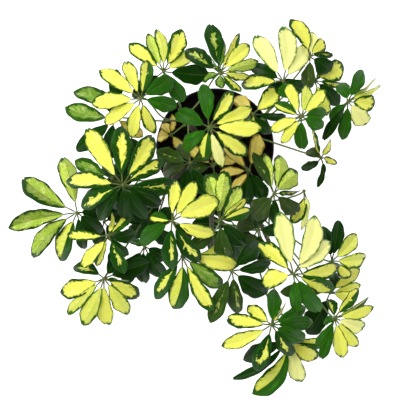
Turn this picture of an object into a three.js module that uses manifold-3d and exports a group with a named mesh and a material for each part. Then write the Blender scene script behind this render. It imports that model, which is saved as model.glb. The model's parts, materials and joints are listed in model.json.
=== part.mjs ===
// Potted dwarf umbrella plant: a round nursery pot, soil, six leaning stems and their compound leaves.
// Millimetres, Z up. The origin is the middle of the pot's underside, where the pot rests.
// Y points to the top of the picture when the plant is seen from straight above.
import * as THREE from "three";
import { mergeVertices } from "three/addons/utils/BufferGeometryUtils.js";
import Module from "manifold-3d";

const wasm = await Module();
wasm.setup();

// The pot: a thin tapered wall with a stepped rim band and a rounded lip.
const potHeight = 225;
const potRimRadius = 125;
const potBaseRadius = 93;
const potWall = 2.6;
const rimBandHeight = 24;
const rimStep = 3;
const drainHoleRadius = 6;
const drainRingRadius = 70;
const drainHoles = 6;
const potSides = 28;

// The soil fills the pot to below the lip, and a little higher in the middle.
const soilDepthBelowLip = 32;
const soilMound = 5;
const fitGap = 0.4;

// The stems: woody, tapering, standing in plain holes in the soil.
const stemRootDepth = 60;
const stemBaseRadius = 7.5;
const stemTipRadius = 3.6;
const budTipRadius = 1;
const stemSides = 8;
const leafSpacing = 19;
const stemSteps = 12;
const budStart = 1 - 1 / stemSteps;

// The leaves: a round stalk, a small hub and stalked leaflets that arch down.
const stalkRadius = 1.7;
const stalkSteps = 4;
const stalkSides = 4;
const stalkFootGap = 0.25;
const hubRadius = 4;
const hubRise = 0.9;
const hubThickness = 4.2;
const widestHubGap = 1.4;
const leafletStalkHalfWidth = 0.9;
const bladeThickness = 0.9;
const bladeStart = 0.23;
const widestAt = [0.47, 0.78];
const widestHalf = 0.44;
const keelRise = 0.2;
const slimmestBlade = 10;
const shingleTurn = 0.35;
const steepest = 1.25;
const flattest = 0.28;
const upwards = new THREE.Vector3(0, 0, 1);

// The view from above that the leaf table is written in: 416 units wide and high,
// with the eye on a vertical line through its middle.
const eye = { x: -15, y: -129, z: 3085, middle: 208, unitsPerSlope: 1350 };

const colours = {
  yellow: "#e9ea6c",
  pale: "#f2f0a0",
  edged: "#a9bb4c",
  banded: "#88a040",
  citron: "#cdd85c",
  lime: "#a8bf4a",
  fresh: "#6f9632",
  half: "#7f9a38",
  streak: "#4c7026",
  flecked: "#35601c",
  green: "#2c5a1a",
  dark: "#16380f",
  dull: "#45593a",
  olive: "#566b33",
  ochre: "#cfae4a",
  bark: "#6d6248",
  soil: "#1d1712",
  pot: "#121312",
};

// Each stem's foot in the soil in mm, and its tip as seen from above with its height in mm.
const stems = {
  north_west: { foot: [-34, 24], tip: [178, 108], height: 440 },
  north_east: { foot: [36, 20], tip: [266, 126], height: 455 },
  centre: { foot: [2, -6], tip: [224, 152], height: 510 },
  west: { foot: [-46, -24], tip: [140, 212], height: 450 },
  south: { foot: [-8, -48], tip: [212, 256], height: 465 },
  south_east: { foot: [40, -34], tip: [277, 260], height: 450 },
};

// The leaves of each stem, from its tip down. A leaf's hub and its leaflets' tips are where they are seen
// from above; its height, and the sideways bow of its stalk, are in mm.
// A leaflet is its tone, its tip and its width as seen. A fifth number bends it to its left as seen from
// above, as a share of its reach.
const leaves = {
  leaf_b: {
    stem: "north_west", hub: [163.5, 71.5], height: 560, bow: 0,
    leaflets: [
      ["edged", 129, 43, 15], ["lime", 148, 33, 11], ["citron", 156, 29, 12, -0.06],
      ["edged", 182, 29, 17, -0.04], ["edged", 195, 52, 13], ["dark", 209, 75, 19],
      ["green", 183, 102, 15], ["dark", 132, 97, 14],
    ],
  },
  leaf_c: {
    stem: "north_west", hub: [220, 73], height: 600, bow: 0,
    leaflets: [
      ["streak", 211, 24, 19], ["flecked", 186, 49, 17], ["fresh", 223, 38, 9], ["fresh", 209, 55, 5],
      ["half", 240, 33, 9], ["yellow", 250, 45, 14], ["lime", 259, 63, 12], ["edged", 250, 78, 9],
      ["half", 241, 92, 9], ["fresh", 203, 81, 9], ["fresh", 220, 88, 10],
    ],
  },
  leaf_a: {
    stem: "north_west", hub: [140.5, 98.5], height: 620, bow: 0,
    leaflets: [
      ["yellow", 91, 103, 17], ["yellow", 99, 70, 15], ["yellow", 126, 61, 14], ["half", 148, 60, 14],
      ["green", 173, 79, 18], ["green", 177, 107, 15], ["edged", 155, 134, 12], ["yellow", 131, 138, 14],
      ["yellow", 104, 123, 14],
    ],
  },
  leaf_ai: {
    stem: "north_west", hub: [115, 118], height: 530, bow: 0,
    leaflets: [
      ["fresh", 73, 92, 17, -0.13], ["fresh", 65, 107, 18, 0.05], ["dark", 76, 150, 17],
      ["dark", 117, 69, 14], ["ochre", 143, 137, 12], ["dark", 111, 159, 14], ["dark", 100, 90, 11],
    ],
  },
  leaf_ag: {
    stem: "north_west", hub: [190, 163], height: 420, bow: 0,
    leaflets: [
      ["olive", 156, 151, 14], ["dull", 163, 172, 20], ["dull", 180, 144, 12], ["dark", 186, 198, 16],
      ["dark", 207, 195, 16], ["olive", 212, 150, 14],
    ],
  },
  leaf_af: {
    stem: "north_west", hub: [171, 135], height: 290, bow: 0,
    leaflets: [
      ["ochre", 158, 137, 12], ["ochre", 164, 123, 10], ["ochre", 173, 114, 8], ["ochre", 182, 149, 10],
    ],
  },
  leaf_h: {
    stem: "north_east", hub: [301.5, 116.5], height: 630, bow: 0,
    leaflets: [
      ["yellow", 288, 83, 12], ["citron", 307, 85, 12], ["edged", 326, 90, 12], ["green", 326, 113, 13],
      ["green", 323, 128, 13], ["green", 302, 149, 14], ["yellow", 281, 143, 10], ["yellow", 270, 131, 12],
      ["half", 274, 103, 11],
    ],
  },
  leaf_e: {
    stem: "north_east", hub: [283, 81], height: 565, bow: -30,
    leaflets: [
      ["pale", 256, 35, 19], ["pale", 284, 26, 20], ["pale", 308, 45, 16], ["edged", 241, 84, 17],
      ["dark", 302, 90, 16], ["green", 286, 98, 12], ["dark", 250, 66, 14],
    ],
  },
  leaf_k: {
    stem: "north_east", hub: [253, 114], height: 500, bow: 0,
    leaflets: [
      ["edged", 277.5, 90, 20], ["dark", 286, 117, 9], ["dark", 270, 134, 12], ["yellow", 252, 128, 9],
      ["yellow", 246, 121, 8], ["ochre", 235, 97, 14],
    ],
  },
  leaf_f: {
    stem: "north_east", hub: [310, 57], height: 530, bow: 0,
    leaflets: [
      ["edged", 290, 19, 17, -0.07], ["yellow", 313, 32, 12], ["edged", 325, 41, 13],
      ["streak", 332, 57, 8, 0.1], ["dark", 331, 71, 17], ["dull", 306, 88, 15],
    ],
  },
  leaf_i: {
    stem: "north_east", hub: [348, 101.5], height: 545, bow: -15,
    leaflets: [
      ["green", 363, 70, 13], ["lime", 377, 77, 6], ["half", 381, 86, 7], ["edged", 375, 104, 16],
      ["pale", 366, 125, 17], ["green", 342, 140, 12], ["dark", 323, 140, 10], ["green", 331, 122, 13],
      ["green", 340, 84, 14],
    ],
  },
  leaf_g: {
    stem: "north_east", hub: [314.5, 80.5], height: 480, bow: 0,
    leaflets: [
      ["edged", 344, 67, 20], ["fresh", 326, 66, 8], ["streak", 350, 87, 8], ["dark", 338, 106, 14],
      ["citron", 327, 116, 13], ["dark", 264, 94, 16],
    ],
  },
  leaf_j: {
    stem: "north_east", hub: [321, 158], height: 420, bow: 0,
    leaflets: [
      ["dark", 301, 167, 9, 0.12], ["dark", 317, 187, 7, 0.15], ["edged", 335, 165, 8, 0.12],
      ["half", 313, 129, 8], ["edged", 331, 140, 8], ["dull", 309, 149, 14],
    ],
  },
  leaf_l: {
    stem: "centre", hub: [209, 127], height: 660, bow: 0,
    leaflets: [
      ["green", 177, 112, 18], ["green", 205, 84, 16], ["edged", 233, 91, 14], ["yellow", 252, 108, 14],
      ["yellow", 262, 129, 17], ["edged", 247, 156, 15], ["pale", 222, 168, 11], ["half", 204, 161, 12],
      ["green", 183, 149, 16],
    ],
  },
  leaf_ad: {
    stem: "centre", hub: [249, 170], height: 480, bow: 0,
    leaflets: [
      ["ochre", 224, 146, 11], ["ochre", 220, 172, 10], ["ochre", 230, 190, 9], ["ochre", 259, 134, 15],
      ["dark", 246, 204, 16], ["dark", 264, 199, 17],
    ],
  },
  leaf_ae: {
    stem: "centre", hub: [213, 166], height: 380, bow: 0,
    leaflets: [
      ["ochre", 190, 148, 13], ["ochre", 208, 136, 11], ["ochre", 240, 152, 12], ["olive", 186, 171, 14],
      ["olive", 219, 197, 14],
    ],
  },
  leaf_m: {
    stem: "west", hub: [122.5, 185], height: 620, bow: 0,
    leaflets: [
      ["yellow", 87, 128, 19], ["banded", 121, 126, 19], ["banded", 153, 136, 20],
      ["banded", 164, 161, 15], ["streak", 178, 184, 18], ["dark", 160, 206, 17], ["dark", 146, 219, 15],
      ["dark", 124, 219, 16], ["dark", 99, 220, 16], ["streak", 81, 207, 18], ["edged", 66, 181, 18],
    ],
  },
  leaf_o: {
    stem: "west", hub: [108.5, 235.5], height: 560, bow: 0,
    leaflets: [
      ["edged", 67, 234, 11], ["yellow", 81, 267, 13], ["half", 96, 266, 11], ["streak", 124, 274, 15],
      ["yellow", 113, 213, 7], ["half", 131, 215, 10], ["dark", 136, 233, 13], ["dark", 127, 256, 13],
    ],
  },
  leaf_aj: {
    stem: "west", hub: [112, 178], height: 490, bow: 0,
    leaflets: [
      ["lime", 75, 160, 15], ["green", 100, 150, 9], ["dark", 141, 160, 14], ["dark", 137, 207, 15],
      ["dark", 114, 209, 14],
    ],
  },
  leaf_n: {
    stem: "west", hub: [77, 212.5], height: 500, bow: 0,
    leaflets: [
      ["lime", 23, 178, 21, 0.03], ["lime", 8, 228, 19], ["lime", 32, 257, 19], ["half", 60, 261, 20],
      ["lime", 63, 157, 18, -0.03], ["dark", 106, 210, 18], ["dark", 100, 234, 18], ["dark", 83, 249, 13],
    ],
  },
  leaf_p: {
    stem: "west", hub: [104, 278.5], height: 500, bow: 0,
    leaflets: [
      ["edged", 60, 292, 18], ["citron", 67, 314, 12], ["citron", 82, 325, 18], ["citron", 107, 325, 18],
      ["citron", 127, 315, 16], ["edged", 138, 298, 18], ["streak", 129, 281, 7],
      ["streak", 73, 267, 13, -0.1], ["dark", 117, 248, 18], ["dark", 150, 262, 18],
    ],
  },
  leaf_q: {
    stem: "west", hub: [144.5, 246.5], height: 450, bow: 0,
    leaflets: [
      ["dark", 124, 282, 19], ["dark", 144, 283, 16], ["dark", 164, 277, 18], ["dark", 168, 259, 15],
      ["green", 131, 240, 9], ["dark", 151, 214, 14],
    ],
  },
  leaf_r: {
    stem: "south", hub: [172, 221], height: 650, bow: 0,
    leaflets: [
      ["yellow", 177, 180, 13], ["yellow", 196, 181, 14], ["yellow", 220, 201, 22],
      ["yellow", 216, 234, 14], ["dark", 191, 240, 10], ["streak", 199, 262, 18], ["streak", 171, 269, 17],
      ["green", 139, 243, 16], ["half", 150, 216, 11],
    ],
  },
  leaf_s: {
    stem: "south", hub: [219.5, 220.5], height: 600, bow: 0,
    leaflets: [
      ["lime", 208, 174, 17], ["lime", 226, 171, 17], ["lime", 241, 186, 15], ["edged", 249, 199, 9],
      ["half", 252, 210, 12], ["dark", 227, 262, 17], ["dark", 244, 246, 17],
    ],
  },
  leaf_t: {
    stem: "south", hub: [182, 256.5], height: 600, bow: 0,
    leaflets: [
      ["streak", 155, 299, 15], ["half", 173, 309, 20, 0.06], ["edged", 212, 311, 17],
      ["fresh", 222, 288, 17], ["yellow", 239, 266, 17], ["yellow", 223, 237, 9, -0.15],
      ["olive", 213, 232, 15],
    ],
  },
  leaf_u: {
    stem: "south", hub: [232, 271], height: 565, bow: -15,
    leaflets: [
      ["olive", 210, 323, 16], ["olive", 237, 314, 15], ["dark", 267, 294, 21], ["dark", 261, 243, 17],
      ["dark", 271, 262, 13],
    ],
  },
  leaf_ak: {
    stem: "south", hub: [257.5, 230], height: 470, bow: 0,
    leaflets: [
      ["dark", 238, 222, 16], ["dark", 281, 229, 14], ["dark", 262, 262, 14], ["dark", 240, 252, 15],
      ["dark", 265, 203, 14],
    ],
  },
  leaf_v: {
    stem: "south_east", hub: [293.5, 274], height: 630, bow: 0,
    leaflets: [
      ["yellow", 262, 281, 19], ["edged", 259, 242, 18], ["pale", 280, 211, 20],
      ["pale", 315, 215, 20, -0.06], ["pale", 331, 242, 18], ["edged", 340, 266, 16],
      ["half", 334, 291, 15], ["green", 318, 312, 18], ["green", 297, 313, 12],
    ],
  },
  leaf_ab: {
    stem: "south_east", hub: [274, 194], height: 535, bow: 15,
    leaflets: [
      ["green", 253, 152, 11], ["lime", 265, 153, 11], ["lime", 280, 155, 16], ["lime", 298, 172, 18],
      ["streak", 300, 191, 7], ["dark", 297, 213, 17], ["dark", 276, 227, 11], ["dark", 252, 217, 20],
    ],
  },
  leaf_w: {
    stem: "south_east", hub: [271.5, 325], height: 590, bow: 0,
    leaflets: [
      ["edged", 227, 318, 15], ["edged", 248, 305, 13], ["yellow", 221, 346, 14, 0.04],
      ["half", 255, 370, 17], ["streak", 292, 356, 15], ["green", 304, 341, 17], ["green", 313, 323, 15],
      ["green", 306, 308, 14], ["edged", 286, 302, 6], ["green", 275, 289, 15],
    ],
  },
  leaf_aa: {
    stem: "south_east", hub: [332, 261], height: 530, bow: 0,
    leaflets: [
      ["dark", 339, 220, 14], ["citron", 357, 234, 15], ["citron", 366, 257, 16], ["dark", 323, 226, 14],
      ["olive", 349, 278, 12],
    ],
  },
  leaf_y: {
    stem: "south_east", hub: [334.5, 318], height: 540, bow: 0,
    leaflets: [
      ["streak", 329, 299, 11], ["green", 324, 321, 9], ["dark", 359, 289, 12], ["half", 369, 297, 8],
      ["yellow", 374, 307, 12], ["yellow", 364, 328, 16], ["edged", 357, 347, 13],
      ["yellow", 342, 358, 14], ["green", 321, 359, 11], ["green", 316, 346, 10],
    ],
  },
  leaf_x: {
    stem: "south_east", hub: [288, 339], height: 500, bow: 0,
    leaflets: [
      ["streak", 252, 394, 20, 0.13], ["dark", 232, 379, 9, 0.1], ["yellow", 299, 382, 18],
      ["edged", 317, 359, 18], ["half", 326, 343, 13], ["dark", 243, 360, 16],
    ],
  },
  leaf_z: {
    stem: "south_east", hub: [330, 293], height: 450, bow: 0,
    leaflets: [
      ["yellow", 360, 268, 14], ["dark", 333, 270, 12], ["yellow", 361, 285, 10], ["yellow", 356, 298, 12],
      ["dark", 307, 334, 22], ["olive", 280, 292, 14],
    ],
  },
  leaf_ac: {
    stem: "south_east", hub: [304, 191], height: 470, bow: 0,
    leaflets: [
      ["edged", 290, 223, 12, 0.12], ["pale", 301, 230, 7, 0.12],
    ],
  },
  leaf_low_w: {
    stem: "west", hub: [150, 226], height: 350, bow: 0,
    leaflets: [
      ["dark", 127, 214, 16], ["dark", 150, 197, 16], ["dark", 173, 210, 16], ["dark", 170, 244, 16],
      ["dark", 128, 238, 16],
    ],
  },
  leaf_low_s: {
    stem: "south", hub: [235, 226], height: 310, bow: 0,
    leaflets: [
      ["dark", 215, 204, 15], ["dark", 192, 223, 15], ["dark", 262, 214, 17], ["dark", 256, 246, 16],
      ["dark", 236, 262, 16], ["dark", 208, 249, 17],
    ],
  },
  leaf_low_m: {
    stem: "west", hub: [139, 180], height: 380, bow: 0,
    leaflets: [
      ["dark", 131, 138, 16], ["dark", 116, 206, 15], ["dark", 102, 186, 15], ["dark", 101, 168, 15],
    ],
  },
  leaf_low_o: {
    stem: "west", hub: [104, 222], height: 400, bow: 0,
    leaflets: [
      ["dark", 126, 212, 15], ["dark", 122, 240, 15], ["dark", 98, 248, 15], ["dark", 118, 184, 16],
    ],
  },
};

// The point at a height in mm that is seen at a place in the view from above.
function seen([across, down], height) {
  const scale = (eye.z - height) / eye.unitsPerSlope;
  const x = eye.x + (across - eye.middle) * scale;
  const y = eye.y - (down - eye.middle) * scale;
  return new THREE.Vector3(x, y, height);
}

// The solid that a closed geometry bounds.
function solid(geometry) {
  const bare = new THREE.BufferGeometry();
  bare.setAttribute("position", geometry.getAttribute("position"));
  bare.setIndex(geometry.index);
  const merged = mergeVertices(bare, 1e-4);
  const vertProperties = merged.getAttribute("position").array;
  const triVerts = new Uint32Array(merged.index.array);
  return new wasm.Manifold(new wasm.Mesh({ numProp: 3, vertProperties, triVerts }));
}

// The mesh of a solid, named and coloured.
function mesh(name, body, colour, roughness) {
  const { vertProperties, triVerts } = body.getMesh();
  const geometry = new THREE.BufferGeometry();
  geometry.setAttribute("position", new THREE.BufferAttribute(vertProperties, 3));
  geometry.setIndex(new THREE.BufferAttribute(triVerts, 1));
  geometry.computeVertexNormals();
  const look = { color: colour, roughness, metalness: 0, flatShading: true };
  const made = new THREE.Mesh(geometry, new THREE.MeshStandardMaterial(look));
  made.name = name;
  return made;
}

// An indexed geometry from points and triangles.
function faceted(points, triangles) {
  const geometry = new THREE.BufferGeometry().setFromPoints(points);
  geometry.setIndex(triangles.flat());
  return geometry;
}

// A tube along a curve, whose radius is a function of the share of the way along it.
function tube(curve, steps, sides, radiusAt) {
  const { normals, binormals } = curve.computeFrenetFrames(steps, false);
  const points = [];
  const triangles = [];
  for (let step = 0; step <= steps; step += 1) {
    const share = step / steps;
    for (let side = 0; side < sides; side += 1) {
      const angle = (2 * Math.PI * side) / sides;
      const point = curve.getPointAt(share);
      point.addScaledVector(normals[step], Math.cos(angle) * radiusAt(share));
      point.addScaledVector(binormals[step], Math.sin(angle) * radiusAt(share));
      points.push(point);
    }
  }
  for (let step = 0; step < steps; step += 1) {
    for (let side = 0; side < sides; side += 1) {
      const here = step * sides + side;
      const beside = step * sides + ((side + 1) % sides);
      triangles.push([here, beside, beside + sides], [here, beside + sides, here + sides]);
    }
  }
  const last = steps * sides;
  for (let side = 1; side < sides - 1; side += 1) {
    triangles.push([0, side + 1, side], [last, last + side, last + side + 1]);
  }
  return faceted(points, triangles);
}

// The triangles between two rows of points that run the same way.
function stitched(first, second) {
  const triangles = [];
  let i = 0;
  let j = 0;
  while (i < first.length - 1 || j < second.length - 1) {
    const nextFirst = i < first.length - 1 ? (i + 1) / (first.length - 1) : Infinity;
    const nextSecond = j < second.length - 1 ? (j + 1) / (second.length - 1) : Infinity;
    if (nextFirst <= nextSecond) {
      triangles.push([first[i], first[i + 1], second[j]]);
      i += 1;
    } else {
      triangles.push([first[i], second[j + 1], second[j]]);
      j += 1;
    }
  }
  return triangles;
}

// The rows of points across a leaflet, from the hub to its tip: a narrow stalk, then a keeled blade that
// arches down. The leaflets of a leaf are about as long as each other, so one that looks short hangs steeply.
// Each is turned a little about its rib, so that neighbours overlap clear of each other.
function leafletRows(hub, fullLength, stalkHalf, [, tipAcross, tipDown, seenWidth, bend = 0]) {
  const scale = (eye.z - hub.z) / eye.unitsPerSlope;
  const reach = seen([tipAcross, tipDown], hub.z).distanceTo(hub);
  const length = Math.min(fullLength, reach * steepest);
  const drop = Math.max(Math.sqrt(length ** 2 - reach ** 2), flattest * reach);
  const tip = seen([tipAcross, tipDown], hub.z - drop);
  const crown = hub.clone().lerp(tip, 0.5).setZ(hub.z - 0.12 * drop + 0.05 * reach);
  const rib = new THREE.QuadraticBezierCurve3(hub, crown, tip);
  const left = new THREE.Vector3().crossVectors(upwards, tip.clone().sub(hub)).normalize();
  const width = Math.max(seenWidth, slimmestBlade) * scale;
  const turn = Math.acos(Math.min(1, seenWidth / slimmestBlade)) + shingleTurn;
  const rows = [
    { at: hubRadius / reach, half: stalkHalf, places: [-1, 1], turn: 0 },
    { at: bladeStart, half: leafletStalkHalfWidth, places: [-1, 1], turn: 0 },
    ...widestAt.map((at) => ({ at, half: widestHalf * width, places: [-1, 0, 1], turn })),
    { at: 1, half: 0, places: [0], turn: 0 },
  ];
  return rows.map(({ at, half, places, turn }) => {
    const along = rib.getTangent(at);
    const right = new THREE.Vector3().crossVectors(along, upwards).normalize().applyAxisAngle(along, turn);
    const up = new THREE.Vector3().crossVectors(right, along);
    const keel = places.length === 3 ? keelRise * half : 0;
    const middle = rib.getPoint(at).addScaledVector(left, bend * reach * Math.sin(Math.PI * at));
    return places.map((place) => {
      const point = middle.clone().addScaledVector(right, place * half);
      return { point: point.addScaledVector(up, Math.abs(place) * keel), up };
    });
  });
}

// A leaf's hub and its ring of leaflets as one thin sheet: a face above, the same face below, and the edge.
function leafSheet(hub, leaflets, fullLength) {
  const around = leaflets
    .map((row) => {
      const out = seen([row[1], row[2]], hub.z).sub(hub);
      return { row, heading: Math.atan2(out.y, out.x) };
    })
    .sort((a, b) => a.heading - b.heading);
  const turnTo = (i) => {
    const next = around[(i + 1) % around.length].heading - around[i].heading;
    return next > 0 ? next : next + 2 * Math.PI;
  };

  const top = [];
  const bottom = [];
  const faces = [];
  const outline = [];
  const placed = ({ point, up }, thickness = bladeThickness) => {
    top.push(point);
    bottom.push(point.clone().addScaledVector(up, -thickness));
    return top.length - 1;
  };
  const crown = hub.clone().addScaledVector(upwards, hubRise);
  const centre = placed({ point: crown, up: upwards }, hubThickness);
  const hubFace = (right) => faces.push([centre, outline.at(-1), right]);

  around.forEach(({ row, heading }, i) => {
    const nearest = Math.min(turnTo(i), turnTo((i + around.length - 1) % around.length));
    const stalkHalf = Math.min(leafletStalkHalfWidth, 0.4 * hubRadius * nearest);
    const sections = leafletRows(hub, fullLength, stalkHalf, row);
    const rows = sections.map((points) => points.map((point) => placed(point)));
    for (let r = 0; r < rows.length - 1; r += 1) faces.push(...stitched(rows[r], rows[r + 1]));
    if (outline.length) hubFace(rows[0].at(-1));
    outline.push(...rows.map((points) => points.at(-1)));
    outline.push(...rows.slice(0, -1).map((points) => points[0]).reverse());
    faces.push([centre, rows[0].at(-1), rows[0][0]]);
    const fillers = Math.floor(turnTo(i) / widestHubGap);
    for (let filler = 1; filler <= fillers; filler += 1) {
      const angle = heading + (turnTo(i) * filler) / (fillers + 1);
      const out = new THREE.Vector3(Math.cos(angle), Math.sin(angle), 0);
      const edge = placed({ point: hub.clone().addScaledVector(out, hubRadius), up: upwards });
      hubFace(edge);
      outline.push(edge);
    }
  });
  hubFace(outline[0]);

  const count = top.length;
  const undersides = faces.map(([a, b, c]) => [c + count, b + count, a + count]);
  const edges = outline.flatMap((here, i) => {
    const next = outline[(i + 1) % outline.length];
    return [[next, here, here + count], [next, here + count, next + count]];
  });
  return faceted([...top, ...bottom], [...faces, ...undersides, ...edges]);
}

// A stem's middle line, from its root end in the soil to its tip.
const soilTop = potHeight - soilDepthBelowLip;
function stemLine({ foot, tip, height }) {
  const root = new THREE.Vector3(foot[0], foot[1], soilTop - stemRootDepth);
  const top = seen(tip, height);
  const bend = root.clone().lerp(top, 0.42);
  bend.z = soilTop + 0.5 * (height - soilTop);
  return new THREE.QuadraticBezierCurve3(root, bend, top);
}

function stemRadius(share) {
  return stemBaseRadius + (stemTipRadius - stemBaseRadius) * share;
}

// A leaf in one piece, with its stalk's foot against the stem at a share of the stem's length.
function leafSolid({ hub: hubSeen, height, bow, leaflets }, line, share) {
  const hub = seen(hubSeen, height);
  const node = line.getPointAt(share);
  const stemAlong = line.getTangentAt(share);
  const out = hub.clone().sub(node);
  out.addScaledVector(stemAlong, -out.dot(stemAlong)).normalize();
  const rising = out.clone().add(stemAlong).normalize();
  const footOut = stemRadius(share) + stalkFootGap + stalkRadius * Math.SQRT1_2;
  const foot = node.clone().addScaledVector(out, footOut);
  const far = foot.distanceTo(hub);
  const sideways = new THREE.Vector3(-out.y, out.x, 0).multiplyScalar(bow);
  const leaving = foot.clone().addScaledVector(rising, 0.3 * far).addScaledVector(sideways, 0.4);
  const arriving = hub.clone().addScaledVector(out, -0.1 * far).add(sideways);
  arriving.z -= 0.3 * far;
  const stalkEnd = hub.clone().addScaledVector(upwards, -1.2);
  const stalk = new THREE.CubicBezierCurve3(foot, leaving, arriving, stalkEnd);
  const reaches = leaflets.map(([, across, down]) => seen([across, down], height).distanceTo(hub));
  const sheet = solid(leafSheet(hub, leaflets, 1.05 * Math.max(...reaches)));
  return sheet.add(solid(tube(stalk, stalkSteps, stalkSides, () => stalkRadius)));
}

// The pot, turned from its profile, with drain holes through its floor.
function potSolid() {
  const bandFoot = potHeight - rimBandHeight;
  const wallTop = potRimRadius - 1 - rimStep;
  const profile = [
    [0, 0],
    [potBaseRadius - 3, 0],
    [potBaseRadius, 3],
    [wallTop, bandFoot],
    [wallTop + rimStep, bandFoot + 1],
    [potRimRadius - 0.6, potHeight - 5],
    [potRimRadius, potHeight - 2],
    [potRimRadius - 1.4, potHeight],
    [potRimRadius - potWall - 0.8, potHeight - 1],
    [potRimRadius - potWall - 1.2, potHeight - 5],
    [wallTop - potWall, bandFoot - 4],
    [potBaseRadius - potWall, potWall + 3],
    [potBaseRadius - potWall - 3, potWall],
    [0, potWall],
  ];
  const points = profile.map(([radius, z]) => new THREE.Vector2(radius, z));
  const turned = new THREE.LatheGeometry(points, potSides).rotateX(Math.PI / 2);
  let body = solid(turned);
  for (let hole = 0; hole < drainHoles; hole += 1) {
    const angle = (2 * Math.PI * (hole + 0.5)) / drainHoles;
    const drill = new THREE.CylinderGeometry(drainHoleRadius, drainHoleRadius, 4 * potWall, 10);
    drill.rotateX(Math.PI / 2);
    drill.translate(drainRingRadius * Math.cos(angle), drainRingRadius * Math.sin(angle), 0);
    body = body.subtract(solid(drill));
  }
  return body;
}

// The soil, turned to follow the pot's inside, with a plain hole for each stem.
function soilSolid() {
  const floor = potWall + fitGap;
  const bandFoot = potHeight - rimBandHeight;
  const innerFoot = potBaseRadius - potWall;
  const innerTop = potRimRadius - 1 - rimStep - potWall;
  const slope = (innerTop - innerFoot) / (bandFoot - 4 - potWall - 3);
  const topRadius = innerFoot + slope * (soilTop - potWall - 3) - 2 * fitGap;
  const profile = [
    [0, floor],
    [innerFoot - 4 - fitGap, floor],
    [innerFoot - 2 * fitGap, floor + 4],
    [topRadius, soilTop],
    [0.6 * topRadius, soilTop + 0.8 * soilMound],
    [0, soilTop + soilMound],
  ];
  const points = profile.map(([radius, z]) => new THREE.Vector2(radius, z));
  let body = solid(new THREE.LatheGeometry(points, potSides).rotateX(Math.PI / 2));
  for (const stem of Object.values(stems)) {
    const line = stemLine(stem);
    const below = line.getPoint(0).addScaledVector(line.getTangent(0), -fitGap);
    const hole = new THREE.QuadraticBezierCurve3(below, line.v1, line.v2);
    body = body.subtract(solid(tube(hole, stemSteps, stemSides, (share) => stemRadius(share) + 2 * fitGap)));
  }
  return body;
}

// A stem, whose last step narrows to a pointed bud.
function stemSolid(line) {
  return solid(tube(line, stemSteps, stemSides, (share) => (share === 1 ? budTipRadius : stemRadius(share))));
}

// A leaf's colour is the mean of its leaflets' tones.
function leafColour(leaflets) {
  const mean = new THREE.Color(0, 0, 0);
  for (const [tone] of leaflets) mean.add(new THREE.Color(colours[tone]));
  return mean.multiplyScalar(1 / leaflets.length);
}

const plant = new THREE.Group();
plant.name = "potted_umbrella_plant";
plant.add(mesh("pot", potSolid(), colours.pot, 0.55));
plant.add(mesh("soil", soilSolid(), colours.soil, 0.95));
for (const [name, stem] of Object.entries(stems)) {
  const line = stemLine(stem);
  plant.add(mesh("stem_" + name, stemSolid(line), colours.bark, 0.8));
  const grown = Object.entries(leaves).filter(([, leaf]) => leaf.stem === name);
  grown.forEach(([leafName, leaf], order) => {
    const share = budStart - ((order + 0.5) * leafSpacing) / line.getLength();
    plant.add(mesh(leafName, leafSolid(leaf, line, share), leafColour(leaf.leaflets), 0.4));
  });
}

export default plant;
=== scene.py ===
# A potted dwarf umbrella plant with yellow and green leaves, standing in a round black nursery pot.
# Metres, Z up. The origin is the middle of the pot's underside.
import json
import math
import random

import bmesh
import bpy
from mathutils import Matrix, Quaternion, Vector
from mathutils import noise as unevenness


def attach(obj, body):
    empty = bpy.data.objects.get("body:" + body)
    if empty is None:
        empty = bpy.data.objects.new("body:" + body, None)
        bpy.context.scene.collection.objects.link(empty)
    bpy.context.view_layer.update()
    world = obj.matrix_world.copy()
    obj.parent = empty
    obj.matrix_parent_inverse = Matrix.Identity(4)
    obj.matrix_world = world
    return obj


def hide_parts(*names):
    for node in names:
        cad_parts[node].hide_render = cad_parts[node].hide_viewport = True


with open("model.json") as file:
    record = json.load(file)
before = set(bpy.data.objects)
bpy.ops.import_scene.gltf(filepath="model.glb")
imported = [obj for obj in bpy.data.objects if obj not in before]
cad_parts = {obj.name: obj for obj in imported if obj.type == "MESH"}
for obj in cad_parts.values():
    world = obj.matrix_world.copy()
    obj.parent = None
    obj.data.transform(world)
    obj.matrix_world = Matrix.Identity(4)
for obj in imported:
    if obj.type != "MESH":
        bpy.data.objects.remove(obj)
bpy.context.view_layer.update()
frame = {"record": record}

# The camera looks straight down on the plant. Places in its view are written in a square of 416 units,
# and its line of sight runs through the middle of that square.
VIEW_MIDDLE = 208
UNITS_PER_SLOPE = 1350
EYE = Vector((-0.015, -0.129, 3.085))
SENSOR_WIDTH = 36


def placed(name, data):
    """A new object in the scene."""
    made = bpy.data.objects.new(name, data)
    bpy.context.scene.collection.objects.link(made)
    return made


camera_data = bpy.data.cameras.new("view_from_above")
camera_data.sensor_width = SENSOR_WIDTH
camera_data.lens = UNITS_PER_SLOPE / (2 * VIEW_MIDDLE) * SENSOR_WIDTH
camera = placed("view_from_above", camera_data)
camera.location = EYE
bpy.context.scene.camera = camera


def seen(across, down, height):
    """The point at a height that the camera sees at a place in its view."""
    scale = (EYE.z - height) / UNITS_PER_SLOPE
    return Vector((EYE.x + (across - VIEW_MIDDLE) * scale, EYE.y - (down - VIEW_MIDDLE) * scale, height))


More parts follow.
